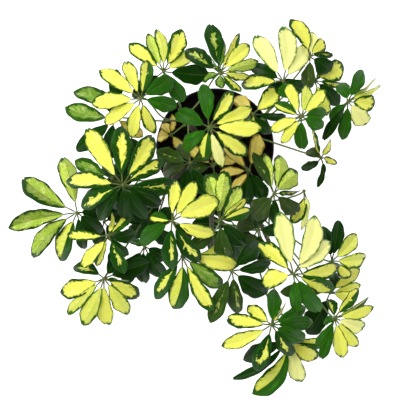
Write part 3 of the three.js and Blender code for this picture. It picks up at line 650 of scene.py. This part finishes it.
# The leaves of each stem, from its tip down: the stem, the place where the knuckle is seen from above, its
# height, the sideways bow of the stalk, and for each leaflet its tone, where its tip is seen, and its width
# as seen. A fifth entry bends a leaflet to its left, as a share of its reach.
LEAVES = {
    "b": ("north_west", (163.5, 71.5), 0.560, 0, (
        ("edged", 129, 43, 15), ("lime", 148, 33, 11), ("citron", 156, 29, 12, -0.06),
        ("edged", 182, 29, 17, -0.04), ("yellow", 195, 52, 13), ("dark", 209, 75, 19),
        ("green", 183, 102, 15), ("dark", 132, 97, 14),
    )),
    "c": ("north_west", (220, 73), 0.600, 0, (
        ("flecked", 211, 24, 19), ("flecked", 186, 49, 17), ("fresh", 223, 38, 9), ("fresh", 209, 55, 5),
        ("half", 240, 33, 9), ("yellow", 250, 45, 14), ("lime", 259, 63, 12), ("edged", 250, 78, 9),
        ("half", 241, 92, 9), ("fresh", 203, 81, 9), ("fresh", 220, 88, 10),
    )),
    "a": ("north_west", (140.5, 98.5), 0.620, 0, (
        ("yellow", 91, 103, 17), ("yellow", 99, 70, 15), ("yellow", 126, 61, 14), ("half", 148, 60, 14),
        ("green", 173, 79, 18), ("green", 177, 107, 15), ("edged", 155, 134, 12), ("yellow", 131, 138, 14),
        ("yellow", 104, 123, 14),
    )),
    "ai": ("north_west", (115, 118), 0.530, 0, (
        ("fresh", 73, 92, 17, -0.13), ("fresh", 65, 107, 18, 0.05), ("dark", 76, 150, 17),
        ("dark", 117, 69, 14), ("ochre", 143, 137, 12), ("dark", 111, 159, 14), ("dark", 100, 90, 11),
    )),
    "ag": ("north_west", (190, 163), 0.420, 0, (
        ("olive", 156, 151, 14), ("dull", 163, 172, 20), ("dull", 180, 144, 12), ("dark", 186, 198, 16),
        ("dark", 207, 195, 16), ("olive", 212, 150, 14),
    )),
    "af": ("north_west", (171, 135), 0.290, 0, (
        ("ochre", 158, 137, 12), ("ochre", 164, 123, 10), ("ochre", 173, 114, 8), ("ochre", 182, 149, 10),
    )),
    "h": ("north_east", (301.5, 116.5), 0.630, 0, (
        ("yellow", 288, 83, 12), ("citron", 307, 85, 12), ("yellow", 326, 90, 12), ("green", 326, 113, 13),
        ("green", 323, 128, 13), ("green", 302, 149, 14), ("yellow", 281, 143, 10),
        ("yellow", 270, 131, 12), ("half", 274, 103, 11),
    )),
    "e": ("north_east", (283, 81), 0.565, -0.03, (
        ("pale", 256, 35, 19), ("pale", 284, 26, 20), ("pale", 308, 45, 16), ("edged", 241, 84, 17),
        ("dark", 302, 90, 16), ("green", 286, 98, 12), ("dark", 250, 66, 14),
    )),
    "k": ("north_east", (253, 114), 0.500, 0, (
        ("edged", 277.5, 90, 20), ("dark", 286, 117, 9), ("dark", 270, 134, 12), ("yellow", 252, 128, 9),
        ("dull", 246, 121, 8), ("ochre", 235, 97, 14),
    )),
    "f": ("north_east", (310, 57), 0.530, 0, (
        ("edged", 290, 19, 17, -0.07), ("pale", 313, 32, 12), ("edged", 325, 41, 13),
        ("streak", 332, 57, 8, 0.1), ("dark", 331, 71, 17), ("dull", 306, 88, 15),
    )),
    "i": ("north_east", (348, 101.5), 0.545, -0.015, (
        ("green", 363, 70, 13), ("lime", 377, 77, 6), ("yellow", 381, 86, 7), ("edged", 375, 104, 16),
        ("pale", 366, 125, 17), ("green", 342, 140, 12), ("dark", 323, 140, 10), ("green", 331, 122, 13),
        ("green", 340, 84, 14),
    )),
    "g": ("north_east", (314.5, 80.5), 0.480, 0, (
        ("edged", 344, 67, 20), ("fresh", 326, 66, 8), ("streak", 350, 87, 8), ("dark", 338, 106, 14),
        ("citron", 327, 116, 13), ("dark", 264, 94, 16),
    )),
    "j": ("north_east", (321, 158), 0.420, 0, (
        ("dark", 301, 167, 9, 0.12), ("dark", 317, 187, 7, 0.15), ("edged", 335, 165, 8, 0.12),
        ("half", 313, 129, 8), ("edged", 331, 140, 8), ("dull", 309, 149, 14),
    )),
    "l": ("centre", (209, 127), 0.660, 0, (
        ("green", 177, 112, 18), ("green", 205, 84, 16), ("edged", 233, 91, 14), ("yellow", 252, 108, 14),
        ("yellow", 262, 129, 17), ("edged", 247, 156, 15), ("pale", 222, 168, 11),
        ("other_half", 204, 161, 12), ("green", 183, 149, 16),
    )),
    "ad": ("centre", (249, 170), 0.480, 0, (
        ("ochre", 224, 146, 11), ("ochre", 220, 172, 10), ("ochre", 230, 190, 9), ("ochre", 259, 134, 15),
        ("dark", 246, 204, 16), ("dark", 264, 199, 17),
    )),
    "ae": ("centre", (213, 166), 0.380, 0, (
        ("ochre", 190, 148, 13), ("ochre", 208, 136, 11), ("ochre", 240, 152, 12), ("olive", 186, 171, 14),
        ("olive", 219, 197, 14),
    )),
    "m": ("west", (122.5, 185), 0.620, 0, (
        ("yellow", 87, 128, 19), ("banded", 121, 126, 19), ("banded", 153, 136, 20),
        ("banded", 164, 161, 15), ("streak", 178, 184, 18), ("dark", 160, 206, 17), ("dark", 146, 219, 15),
        ("dark", 124, 219, 16), ("dark", 99, 220, 16), ("streak", 81, 207, 18), ("edged", 66, 181, 18),
    )),
    "o": ("west", (108.5, 235.5), 0.560, 0, (
        ("edged", 67, 234, 11), ("yellow", 81, 267, 13), ("half", 96, 266, 11), ("streak", 124, 274, 15),
        ("yellow", 113, 213, 7), ("half", 131, 215, 10), ("dark", 136, 233, 13), ("dark", 127, 256, 13),
    )),
    "aj": ("west", (112, 178), 0.490, 0, (
        ("fresh", 75, 160, 15), ("green", 100, 150, 9), ("dark", 141, 160, 14), ("dark", 137, 207, 15),
        ("dark", 114, 209, 14),
    )),
    "n": ("west", (77, 212.5), 0.500, 0, (
        ("grassy", 23, 178, 21, 0.03), ("grassy", 8, 228, 19), ("grassy", 32, 257, 19),
        ("other_half", 60, 261, 20), ("lime", 63, 157, 18, -0.03), ("dark", 106, 210, 18),
        ("dark", 100, 234, 18), ("dark", 83, 249, 13),
    )),
    "p": ("west", (104, 278.5), 0.500, 0, (
        ("edged", 60, 292, 18), ("citron", 67, 314, 12), ("citron", 82, 325, 18), ("yellow", 107, 325, 18),
        ("citron", 127, 315, 16), ("edged", 138, 298, 18), ("streak", 129, 281, 7),
        ("streak", 73, 267, 13, -0.1), ("dark", 117, 248, 18), ("dark", 150, 262, 18),
    )),
    "q": ("west", (144.5, 246.5), 0.450, 0, (
        ("dark", 124, 282, 19), ("dark", 144, 283, 16), ("dark", 164, 277, 18), ("dark", 168, 259, 15),
        ("green", 131, 240, 9), ("dark", 151, 214, 14),
    )),
    "r": ("south", (172, 221), 0.650, 0, (
        ("edged", 177, 180, 13), ("yellow", 196, 181, 14), ("yellow", 220, 201, 22),
        ("yellow", 216, 234, 14), ("dark", 191, 240, 10), ("streak", 199, 262, 18),
        ("streak", 171, 269, 17), ("green", 139, 243, 16), ("half", 150, 216, 11),
    )),
    "s": ("south", (219.5, 220.5), 0.600, 0, (
        ("lime", 208, 174, 17), ("lime", 226, 171, 17), ("lime", 241, 186, 15), ("edged", 249, 199, 9),
        ("half", 252, 210, 12), ("olive", 227, 262, 17), ("dark", 244, 246, 17),
    )),
    "t": ("south", (182, 256.5), 0.600, 0, (
        ("streak", 155, 299, 15), ("other_half", 173, 309, 20, 0.06), ("edged", 212, 311, 17),
        ("fresh", 222, 288, 17), ("yellow", 239, 266, 17), ("yellow", 223, 237, 9, -0.15),
        ("olive", 213, 232, 15),
    )),
    "u": ("south", (232, 271), 0.565, -0.015, (
        ("olive", 210, 323, 16), ("olive", 237, 314, 15), ("dark", 267, 294, 21), ("dark", 261, 243, 17),
        ("dark", 271, 262, 13),
    )),
    "ak": ("south", (257.5, 230), 0.470, 0, (
        ("dull", 238, 222, 16), ("dark", 281, 229, 14), ("dark", 262, 262, 14), ("dull", 240, 252, 15),
        ("dull", 265, 203, 14),
    )),
    "v": ("south_east", (293.5, 274), 0.630, 0, (
        ("yellow", 262, 281, 19), ("edged", 259, 242, 18), ("pale", 280, 211, 20),
        ("pale", 315, 215, 20, -0.06), ("pale", 331, 242, 18), ("edged", 340, 266, 16),
        ("other_half", 334, 291, 15), ("green", 318, 312, 18), ("green", 297, 313, 12),
    )),
    "ab": ("south_east", (274, 194), 0.535, 0.015, (
        ("olive", 253, 152, 11), ("lime", 265, 153, 11), ("lime", 280, 155, 16), ("lime", 298, 172, 18),
        ("streak", 300, 191, 7), ("dull", 297, 213, 17), ("dark", 276, 227, 11), ("dull", 252, 217, 20),
    )),
    "w": ("south_east", (271.5, 325), 0.590, 0, (
        ("edged", 227, 318, 15), ("edged", 248, 305, 13), ("yellow", 221, 346, 14, 0.04),
        ("streak", 255, 370, 17), ("streak", 292, 356, 15), ("green", 304, 341, 17),
        ("green", 313, 323, 15), ("green", 306, 308, 14), ("edged", 286, 302, 6), ("green", 275, 289, 15),
    )),
    "aa": ("south_east", (332, 261), 0.530, 0, (
        ("dark", 339, 220, 14), ("citron", 357, 234, 15), ("citron", 366, 257, 16), ("dark", 323, 226, 14),
        ("edged", 349, 278, 12),
    )),
    "y": ("south_east", (334.5, 318), 0.540, 0, (
        ("streak", 329, 299, 11), ("green", 324, 321, 9), ("half", 359, 289, 12), ("half", 369, 297, 8),
        ("yellow", 374, 307, 12), ("pale", 364, 328, 16), ("yellow", 357, 347, 13),
        ("yellow", 342, 358, 14), ("green", 321, 359, 11), ("green", 316, 346, 10),
    )),
    "x": ("south_east", (288, 339), 0.500, 0, (
        ("other_half", 252, 394, 20, 0.13), ("dark", 232, 379, 9, 0.1), ("pale", 299, 382, 18),
        ("edged", 317, 359, 18), ("half", 326, 343, 13), ("dark", 243, 360, 16),
    )),
    "z": ("south_east", (330, 293), 0.450, 0, (
        ("yellow", 360, 268, 14), ("dark", 333, 270, 12), ("yellow", 361, 285, 10),
        ("yellow", 356, 298, 12), ("dark", 307, 334, 22), ("olive", 280, 292, 14),
    )),
    "ac": ("south_east", (304, 191), 0.470, 0, (
        ("edged", 290, 223, 12, 0.12), ("pale", 301, 230, 7, 0.12),
    )),
    "low_w": ("west", (150, 226), 0.350, 0, (
        ("dark", 127, 214, 16), ("dark", 150, 197, 16), ("dark", 173, 210, 16), ("dark", 170, 244, 16),
        ("dark", 128, 238, 16),
    )),
    "low_s": ("south", (235, 226), 0.310, 0, (
        ("dark", 215, 204, 15), ("dark", 192, 223, 15), ("dark", 262, 214, 17), ("dark", 256, 246, 16),
        ("dark", 236, 262, 16), ("dark", 208, 249, 17),
    )),
    "low_m": ("west", (139, 180), 0.380, 0, (
        ("dark", 131, 138, 16), ("dark", 116, 206, 15), ("dark", 102, 186, 15), ("dark", 101, 168, 15),
    )),
    "low_o": ("west", (104, 222), 0.400, 0, (
        ("dark", 126, 212, 15), ("dark", 122, 240, 15), ("dark", 98, 248, 15), ("dark", 118, 184, 16),
    )),
}


def leaf_blade():
    """A leaflet's skin: yellow or green, parted along the side veins, glossy above and dull below."""
    material, tree, place = surface("leaf_blade")
    split = node(tree, "SeparateXYZ", {"Vector": node(tree, "UVMap", uv_map="blade")["UV"]})
    along = split["X"]
    across = scaled(tree, split["Y"], 2, -1)
    beside = figure(tree, "ABSOLUTE", across)
    heart = node(tree, "Attribute", attribute_name="heart")
    margin = node(tree, "Attribute", attribute_name="margin")
    pattern = node(tree, "Attribute", attribute_name="pattern")["Vector"]
    left_edge, right_edge, leaflet = node(tree, "SeparateXYZ", {"Vector": pattern})
    inset = node(tree, "Attribute", attribute_name="inset")["Fac"]
    below = node(tree, "Attribute", attribute_name="underside")["Fac"]
    on_left = figure(tree, "GREATER_THAN", across, 0)
    half = scaled(tree, on_left, HALVES_APART, leaflet)
    vein = scaled(tree, along, SIDE_VEINS, times(tree, beside, -VEIN_SLANT))

    def on_half(first, second, detail=2.0):
        """A cloudy value over one half of the blade, which differs from leaflet to leaflet."""
        spot = node(tree, "CombineXYZ", {"X": first, "Y": second, "Z": half})["Vector"]
        return rough(tree, spot, scale=1, detail=detail)

    # How far the green reaches in from the edge: jagged along the veins, and further at some tips.
    span = figure(tree, "SUBTRACT", left_edge, right_edge)
    edge = scaled(tree, on_left, span, right_edge)
    slow = on_half(times(tree, along, 3.2), 0.0)
    jagged = on_half(times(tree, vein, 0.7), times(tree, inset, 3), detail=3)
    swing = scaled(tree, slow, 1.5, 0.25)
    jag_size = scaled(tree, edge, 1.15, 0.42)
    jag = times(tree, figure(tree, "SUBTRACT", jagged, 0.5), jag_size)
    near_tip = stepped(tree, along, low=0.74, high=0.98)
    tipped = times(tree, near_tip, stepped(tree, slow, low=0.38, high=0.62))
    reach = scaled(tree, tipped, 0.30, scaled(tree, edge, swing, jag))
    past = figure(tree, "SUBTRACT", reach, inset)
    band = scaled(tree, on_half(vein, beside), 0.34, -0.07)
    green = stepped(tree, past, low=-0.012, high=0.012)
    between = stepped(tree, figure(tree, "ADD", past, band), low=-0.02, high=0.02)

    # The middle: clouded, with paler patches, specks and blotches, and painted shade over one half.
    clouds = rough(tree, place, scale=70, detail=3)
    paled = on_half(times(tree, vein, 0.5), times(tree, beside, 1.5), detail=4)
    pale = stepped(tree, paled, low=0.50, high=0.66)
    clouded = laid_on(tree, heart["Color"], tint("#c9d35c"), clouds, share=0.12)
    faded = laid_on(tree, clouded, tint("#fbfba6"), pale, share=0.35)
    # Painted shade: one half of the blade is darkened towards its margin colour, by the margin's alpha.
    side = scaled(tree, on_left, 2, -1)
    shade = node(tree, "Math", {0: side, 1: margin["Alpha"]}, operation="MULTIPLY", use_clamp=True)[0]
    shaded = mixed(tree, shade, faded, margin["Color"])
    specks = patches(tree, place, scale=420, low=0.58, high=0.70, detail=3)
    blotched = on_half(times(tree, vein, 2.3), times(tree, beside, 5), detail=4)
    blotches = stepped(tree, blotched, low=0.54, high=0.62)
    spoilt = figure(tree, "MAXIMUM", specks, times(tree, blotches, 0.8))
    speckled = times(tree, spoilt, heart["Alpha"])
    middle = laid_on(tree, shaded, margin["Color"], speckled, share=0.55)

    # The green: with a painted sheen in paler patches, fine pale side veins, and a pale rib through all of
    # it.
    sheen_clouds = on_half(times(tree, along, 3), times(tree, beside, 2.5), detail=3)
    sheen = stepped(tree, sheen_clouds, low=0.52, high=0.74)
    pale_vein = stepped(tree, figure(tree, "PINGPONG", vein, 0.5), low=0.10, high=0.02)
    rib_taper = figure(tree, "SUBTRACT", 1.35, along)
    rib = stepped(tree, times(tree, beside, rib_taper), low=0.055, high=0.02)
    # Painted sheen: the margin green made paler in patches, standing in for gloss.
    paler = node(tree, "VectorMath", {0: margin["Color"], "Scale": 2.8}, operation="SCALE")[0]
    green_with_painted_sheen = laid_on(tree, margin["Color"], paler, sheen, share=0.5)
    veined = laid_on(tree, green_with_painted_sheen, tint("#6f9436"), pale_vein, share=0.06)
    ribbed = laid_on(tree, veined, tint("#a3ba55"), rib, share=0.07)
    warm = laid_on(tree, middle, tint("#b9c35c"), rib, share=0.14)
    greyer = mixed(tree, 0.42, warm, margin["Color"])
    parted = mixed(tree, green, mixed(tree, between, warm, greyer), ribbed)
    dull = mixed(tree, 0.35, parted, tint("#a9b878"))
    colour = mixed(tree, below, parted, dull)

    wax = scaled(tree, rough(tree, place, scale=160, detail=3), 0.16, 0.16)
    roughness = scaled(tree, below, 0.28, wax)
    blister = figure(tree, "SINE", times(tree, vein, 2 * math.pi))
    veins = scaled(tree, blister, 0.10, times(tree, rib, -0.5))
    grain = scaled(tree, rough(tree, place, scale=700), 0.25, veins)
    return finished(material, colour, roughness, gloss=0.07, relief=grain, strength=0.35, depth=0.0009)


def leaf_stalk():
    """A stalk's skin: smooth and green, clouded darker, with fine corky dots."""
    material, tree, place = surface("leaf_stalk")
    heart = node(tree, "Attribute", attribute_name="heart")["Color"]
    clouds = rough(tree, place, scale=120, detail=4)
    shaded = laid_on(tree, heart, tint("#3f5322"), clouds, share=0.5)
    dots = patches(tree, place, scale=800, low=0.66, high=0.72, detail=1)
    dotted = mixed(tree, dots, shaded, tint("#a08f5a"))
    roughness = scaled(tree, clouds, 0.2, 0.35)
    return finished(material, dotted, roughness, gloss=0.15, relief=clouds, strength=0.2, depth=0.0004)


# Blades wear the first of a leaf's materials, and stalks the second.
leaf_materials = [leaf_blade(), leaf_stalk()]
STALK = 1


def new_leaf_mesh():
    """An empty mesh with what the leaf materials read from it."""
    bm = bmesh.new()
    bm.loops.layers.uv.new("blade")
    bm.verts.layers.float.new("inset")
    for kind in ("heart", "margin"):
        bm.faces.layers.float_color.new(kind)
    bm.faces.layers.float_vector.new("pattern")
    bm.faces.layers.float.new("underside")
    return bm


def painted(bm, faces, heart, margin, pattern):
    """Gives faces the colours and the pattern that the leaf materials read."""
    layers = bm.faces.layers
    for face in faces:
        face[layers.float_color["heart"]] = heart
        face[layers.float_color["margin"]] = margin
        face[layers.float_vector["pattern"]] = pattern


def spoon(share):
    """Half the width of a blade at a share of its length: slim at its foot, widest past its middle."""
    return share ** SPOON_FOOT * max(0, 1 - share ** SPOON_TIP) ** SPOON_POINT / SPOON_PEAK


def even(flat_share):
    """How far along the blade a row of the flat grid lies: rows are closer at both ends, where it turns."""
    return 0.5 - 0.5 * math.cos(math.pi * min(max(flat_share, 0), 1))


class Rib:
    """The middle line of a leaflet, which may bend to its left."""

    def __init__(self, handles, bend):
        self.handles = handles
        self.reach = (handles[-1] - handles[0]).length
        self.bend = bend * self.reach

    def at(self, share):
        """The point, the heading and the direction to the left at a share of the rib."""
        point, heading = on_curve(self.handles, share)
        left = UP.cross(heading).normalized()
        point = point + left * (self.bend * math.sin(math.pi * share))
        bent = self.bend / self.reach * math.pi * math.cos(math.pi * share)
        heading = (heading + left * bent).normalized()
        return point, heading, heading.cross(left).cross(heading).normalized()

    def rod(self, share):
        """The line of the rib itself, just under the blade."""
        point, heading, left = self.at(RIB_END * share)
        depth = LEAFLET_STALK_RADIUS * (RIB_DEPTH - RIB_THINNING * share)
        return point - heading.cross(left) * depth, heading


def thin_grid(bm):
    """The faces of a flat blade: a grid with its thickness, whose lower side is marked for its skin."""
    made = bmesh.ops.create_grid(
        bm, x_segments=BLADE_ROWS, y_segments=BLADE_COLUMNS, size=0.5, calc_uvs=True)
    upper = joined_to(made["verts"])
    before = set(bm.faces)
    bmesh.ops.solidify(bm, geom=upper, thickness=BLADE_THICKNESS)
    lower = [face for face in bm.faces if face not in before]
    upper_edges = {edge for face in upper for edge in face.edges}
    underside = bm.faces.layers.float["underside"]
    for face in upper:
        face.smooth = True
    for face in lower:
        face[underside] = 1
        face.smooth = not any(edge in upper_edges for edge in face.edges)
    uv = bm.loops.layers.uv["blade"]
    for loop in (loop for face in upper + lower for loop in face.loops):
        loop[uv].uv.x = even(loop[uv].uv.x)
    return upper + lower


def add_leaflet(bm, rib, width, turn, tone, chance):
    """A leaflet: a thin blade, arched along its rib and keeled across it, and the rib that carries it."""
    heart, margin, left_edge, right_edge, speckle, shade = TONES[tone]
    if chance.random() < 0.5 and abs(left_edge - right_edge) < MIRRORED_BELOW:
        left_edge, right_edge = right_edge, left_edge
    left_edge *= chance.uniform(*EDGE_SPREAD)
    right_edge *= chance.uniform(*EDGE_SPREAD)
    pattern = (left_edge, right_edge, chance.uniform(0, PATTERN_RANGE))
    heart = (*tint(heart, chance.uniform(*HEART_LIGHT))[:3], speckle)
    margin = tint(margin, chance.uniform(*MARGIN_LIGHT))
    # The margin's alpha carries the painted shade: how much one half of the blade is darkened, and which
    # half.
    margin = (*margin[:3], shade * chance.choice(SHADED_HALVES))
    phase = chance.uniform(0, 2 * math.pi)
    waves = chance.uniform(*EDGE_WAVES)
    wave = chance.uniform(*WAVE_HEIGHTS)
    wobble = chance.uniform(*WOBBLES)
    lopsided = chance.uniform(-LOPSIDED, LOPSIDED)
    roll = chance.gauss(0, ROLL_SPREAD)
    keel = KEEL_RISE + chance.gauss(0, KEEL_SPREAD)
    blunt = chance.choice(BLUNT_TIPS)
    lobes = chance.choice(TIP_LOBES)
    cut = chance.uniform(*TIP_CUTS) if blunt else 0

    faces = thin_grid(bm)
    inset = bm.verts.layers.float["inset"]
    verts = list(dict.fromkeys(vert for face in faces for vert in face.verts))
    for vert in verts:
        share = even(vert.co.x + 0.5)
        place = 2 * vert.co.y
        side = 1 if place > 0 else -1
        profile = spoon(share) * (1 - blunt) + blunt * math.sin(0.5 * math.pi * share) ** 2
        uneven = WOBBLE_DEPTH * math.sin(2 * math.pi * wobble * share + phase * side) + lopsided * side
        half = 0.5 * width * profile * (1 + uneven * abs(place)) + LEAFLET_STALK_RADIUS * (1 - share)
        lobed = 0.5 - 0.5 * math.cos(math.pi * lobes * (place + 1))
        shortened = share - cut * lobed * share ** TIP_CUT_FADE
        point, heading, left = rib.at(BLADE_START + (1 - BLADE_START) * shortened)
        opened = min(1, share * BLADE_OPENING)
        left = Quaternion(heading, (turn + roll) * opened) @ left
        up = heading.cross(left)
        ripple = wave * math.sin(2 * math.pi * waves * share + phase + (place > 0)) * place ** 2
        lift = half * (keel * (abs(place) - KEEL_FLATTENING * place ** 2) + ripple)
        from_side = (1 - abs(place)) * (FOOT_INSET + (1 - FOOT_INSET) * spoon(share))
        vert[inset] = min(from_side, (1 - share) * TIP_INSET)
        vert.co = point + left * (place * half) + up * (lift + vert.co.z)
    bmesh.ops.remove_doubles(bm, verts=verts, dist=MERGED_WITHIN)
    painted(bm, [face for face in faces if face.is_valid], heart, margin, pattern)

    def rod_radius(share):
        """The radius of the leaflet's stalk, which thins out into its rib."""
        return LEAFLET_STALK_RADIUS + (RIB_TIP_RADIUS - LEAFLET_STALK_RADIUS) * share

    rod = rolled(bm, rib.rod, UP, rod_radius, RIB_STEPS, RIB_SIDES, STALK)
    plain = tone in PLAIN_TONES
    own_colour, blade_share = PLAIN_ROD if plain else YELLOW_ROD
    rod_colour = Vector(tint(own_colour)).lerp(Vector(margin if plain else heart), blade_share)
    painted(bm, rod, (*rod_colour[:3], 0), margin, pattern)


def leaf_ribs(hub, leaflets):
    """The rib of each leaflet. All are about as long, so one that looks short hangs more steeply."""
    reaches = [(seen(across, down, hub.z) - hub).length for _, across, down, *_ in leaflets]
    full_length = LONGEST_REACH * max(reaches)
    for reach, (_, across, down, *_) in zip(reaches, leaflets):
        length = min(full_length, reach * STEEPEST)
        drop = max(math.sqrt(length ** 2 - reach ** 2), FLATTEST * reach)
        tip = seen(across, down, hub.z - drop)
        crown = hub.lerp(tip, 0.5)
        crown.z = hub.z - CROWN_DROP * drop + CROWN_RISE * reach
        yield hub, crown, tip


def add_stalk(bm, hub, line, share, bow, colour):
    """A leaf's own stalk, from the stem up to the knuckle, a little swollen at both ends."""
    at_stem, stem_heading = line.at(share)
    out = hub - at_stem
    out = (out - stem_heading * out.dot(stem_heading)).normalized()
    # The stalk leaves the bark at half a right angle.
    rising = (out + stem_heading).normalized()
    foot = at_stem + out * (stem_radius(share) + STALK_FOOT_GAP + STALK_RADIUS * math.sqrt(0.5))
    far = (hub - foot).length
    sideways = Vector((-out.y, out.x, 0)) * bow
    leaving = foot + rising * STALK_STRAIGHT * far + sideways * BOW_AT_FOOT
    arriving = hub - out * STALK_LEAN * far + sideways - UP * STALK_STRAIGHT * far
    stalk_line = EvenLine([foot, leaving, arriving, hub - UP * STALK_SINK])

    def swollen_radius(stalk_share):
        """The stalk's radius, wider towards the bark and the knuckle."""
        at_foot = math.exp(-(stalk_share * far / FOOT_SWELLING_LENGTH) ** 2)
        at_top = math.exp(-((1 - stalk_share) * far / TOP_SWELLING_LENGTH) ** 2)
        return STALK_RADIUS + STALK_SWELLING * (at_foot + TOP_SWELLING * at_top)

    # A hair off level, so that a stalk has a side wherever it points.
    beside = Vector((-out.y, out.x, BARELY_UP)).normalized()
    rod = rolled(bm, stalk_line.at, beside, swollen_radius, STALK_STEPS, STALK_SIDES, STALK)
    painted(bm, rod, colour, colour, (0, 0, 0))


# The record's finish for each leaf's node is looked up. The leaves of a stem grow from its tip down.
finish = {part["node"]: part["material_slot"] for part in frame["record"]["subparts"]}
grown_on = dict.fromkeys(STEMS, 0)
for letter, (stem, hub_seen, height, bow, leaflets) in LEAVES.items():
    name = "leaf_" + letter
    chance = random.Random(name)
    hub = seen(*hub_seen, height)
    line = stem_lines[stem]
    share = BUD_START - (grown_on[stem] + 0.5) * LEAF_SPACING / line.length
    grown_on[stem] += 1
    leaf = new_leaf_mesh()
    scale = (EYE.z - height) / UNITS_PER_SLOPE
    for handles, (tone, across, down, seen_width, *bend) in zip(leaf_ribs(hub, leaflets), leaflets):
        width = max(seen_width, SLIMMEST_BLADE) * scale / math.cos(SHINGLE_TURN)
        turn = math.acos(min(1, seen_width / SLIMMEST_BLADE)) + SHINGLE_TURN
        rib = Rib(handles, bend[0] if bend else chance.gauss(0, BEND_SPREAD))
        add_leaflet(leaf, rib, width, turn, tone, chance)
    stalk_colour = tint(STALK_GREEN, chance.uniform(*STALK_LIGHT))
    add_stalk(leaf, hub, line, share, bow, stalk_colour)
    flattened = Matrix.Translation(hub) @ Matrix.Diagonal((1, 1, KNUCKLE_FLATNESS, 1))
    made = bmesh.ops.create_uvsphere(
        leaf, u_segments=KNUCKLE_SIDES, v_segments=KNUCKLE_RINGS, radius=KNUCKLE_RADIUS, matrix=flattened)
    knuckle = joined_to(made["verts"])
    for face in knuckle:
        face.smooth = True
        face.material_index = STALK
    painted(leaf, knuckle, tint(KNUCKLE_GREEN), stalk_colour, (0, 0, 0))
    hand_over(leaf, "compound_" + name, leaf_materials, name, finish[name])

# The floor is a plain pale sheet, which glows so that it stays white under the shade of the leaves.
# A wide soft light hangs over the plant, and the room is white all round and grey overhead.
FLOOR_SIZE = 16
SOFTBOX_SIZE = 1.1
SOFTBOX_PLACE = Vector((-0.6, 0.45, 3.3))
SOFTBOX_TARGET = Vector((0, -0.1, 0.4))
SOFTBOX_POWER = 73
CEILING_SHADE = 0.22
CEILING_START = 0.05
CEILING_END = 0.75
FLOOR_LOOK = {
    "Base Color": tint("#f6f6f6"), "Roughness": 0.9, "Specular IOR Level": 0.0,
    "Emission Color": (1, 1, 1, 1), "Emission Strength": 0.8,
}
floor_material = bpy.data.materials.new("pale_floor")
floor_material.use_nodes = True
for socket, value in FLOOR_LOOK.items():
    floor_material.node_tree.nodes["Principled BSDF"].inputs[socket].default_value = value
sheet = bmesh.new()
bmesh.ops.create_grid(sheet, x_segments=1, y_segments=1, size=FLOOR_SIZE / 2)
floor = from_bmesh(sheet, "floor", [floor_material])

softbox_data = bpy.data.lights.new("softbox", "AREA")
softbox_data.shape = "SQUARE"
softbox_data.size = SOFTBOX_SIZE
softbox_data.energy = SOFTBOX_POWER
softbox = placed("softbox", softbox_data)
softbox.location = SOFTBOX_PLACE
softbox.rotation_mode = "QUATERNION"
softbox.rotation_quaternion = (SOFTBOX_TARGET - SOFTBOX_PLACE).to_track_quat("-Z", "Y")

room = bpy.data.worlds.new("room")
room.use_nodes = True
air = room.node_tree
direction = node(air, "TexCoord")["Generated"]
height_in_view = node(air, "SeparateXYZ", {"Vector": direction})["Z"]
rise = stepped(air, height_in_view, CEILING_START, CEILING_END)
walls_and_ceiling = mixed(air, rise, (1, 1, 1, 1), (CEILING_SHADE, CEILING_SHADE, CEILING_SHADE, 1))
air.links.new(walls_and_ceiling, air.nodes["Background"].inputs["Color"])
bpy.context.scene.world = room
bpy.context.scene.view_settings.view_transform = "Standard"
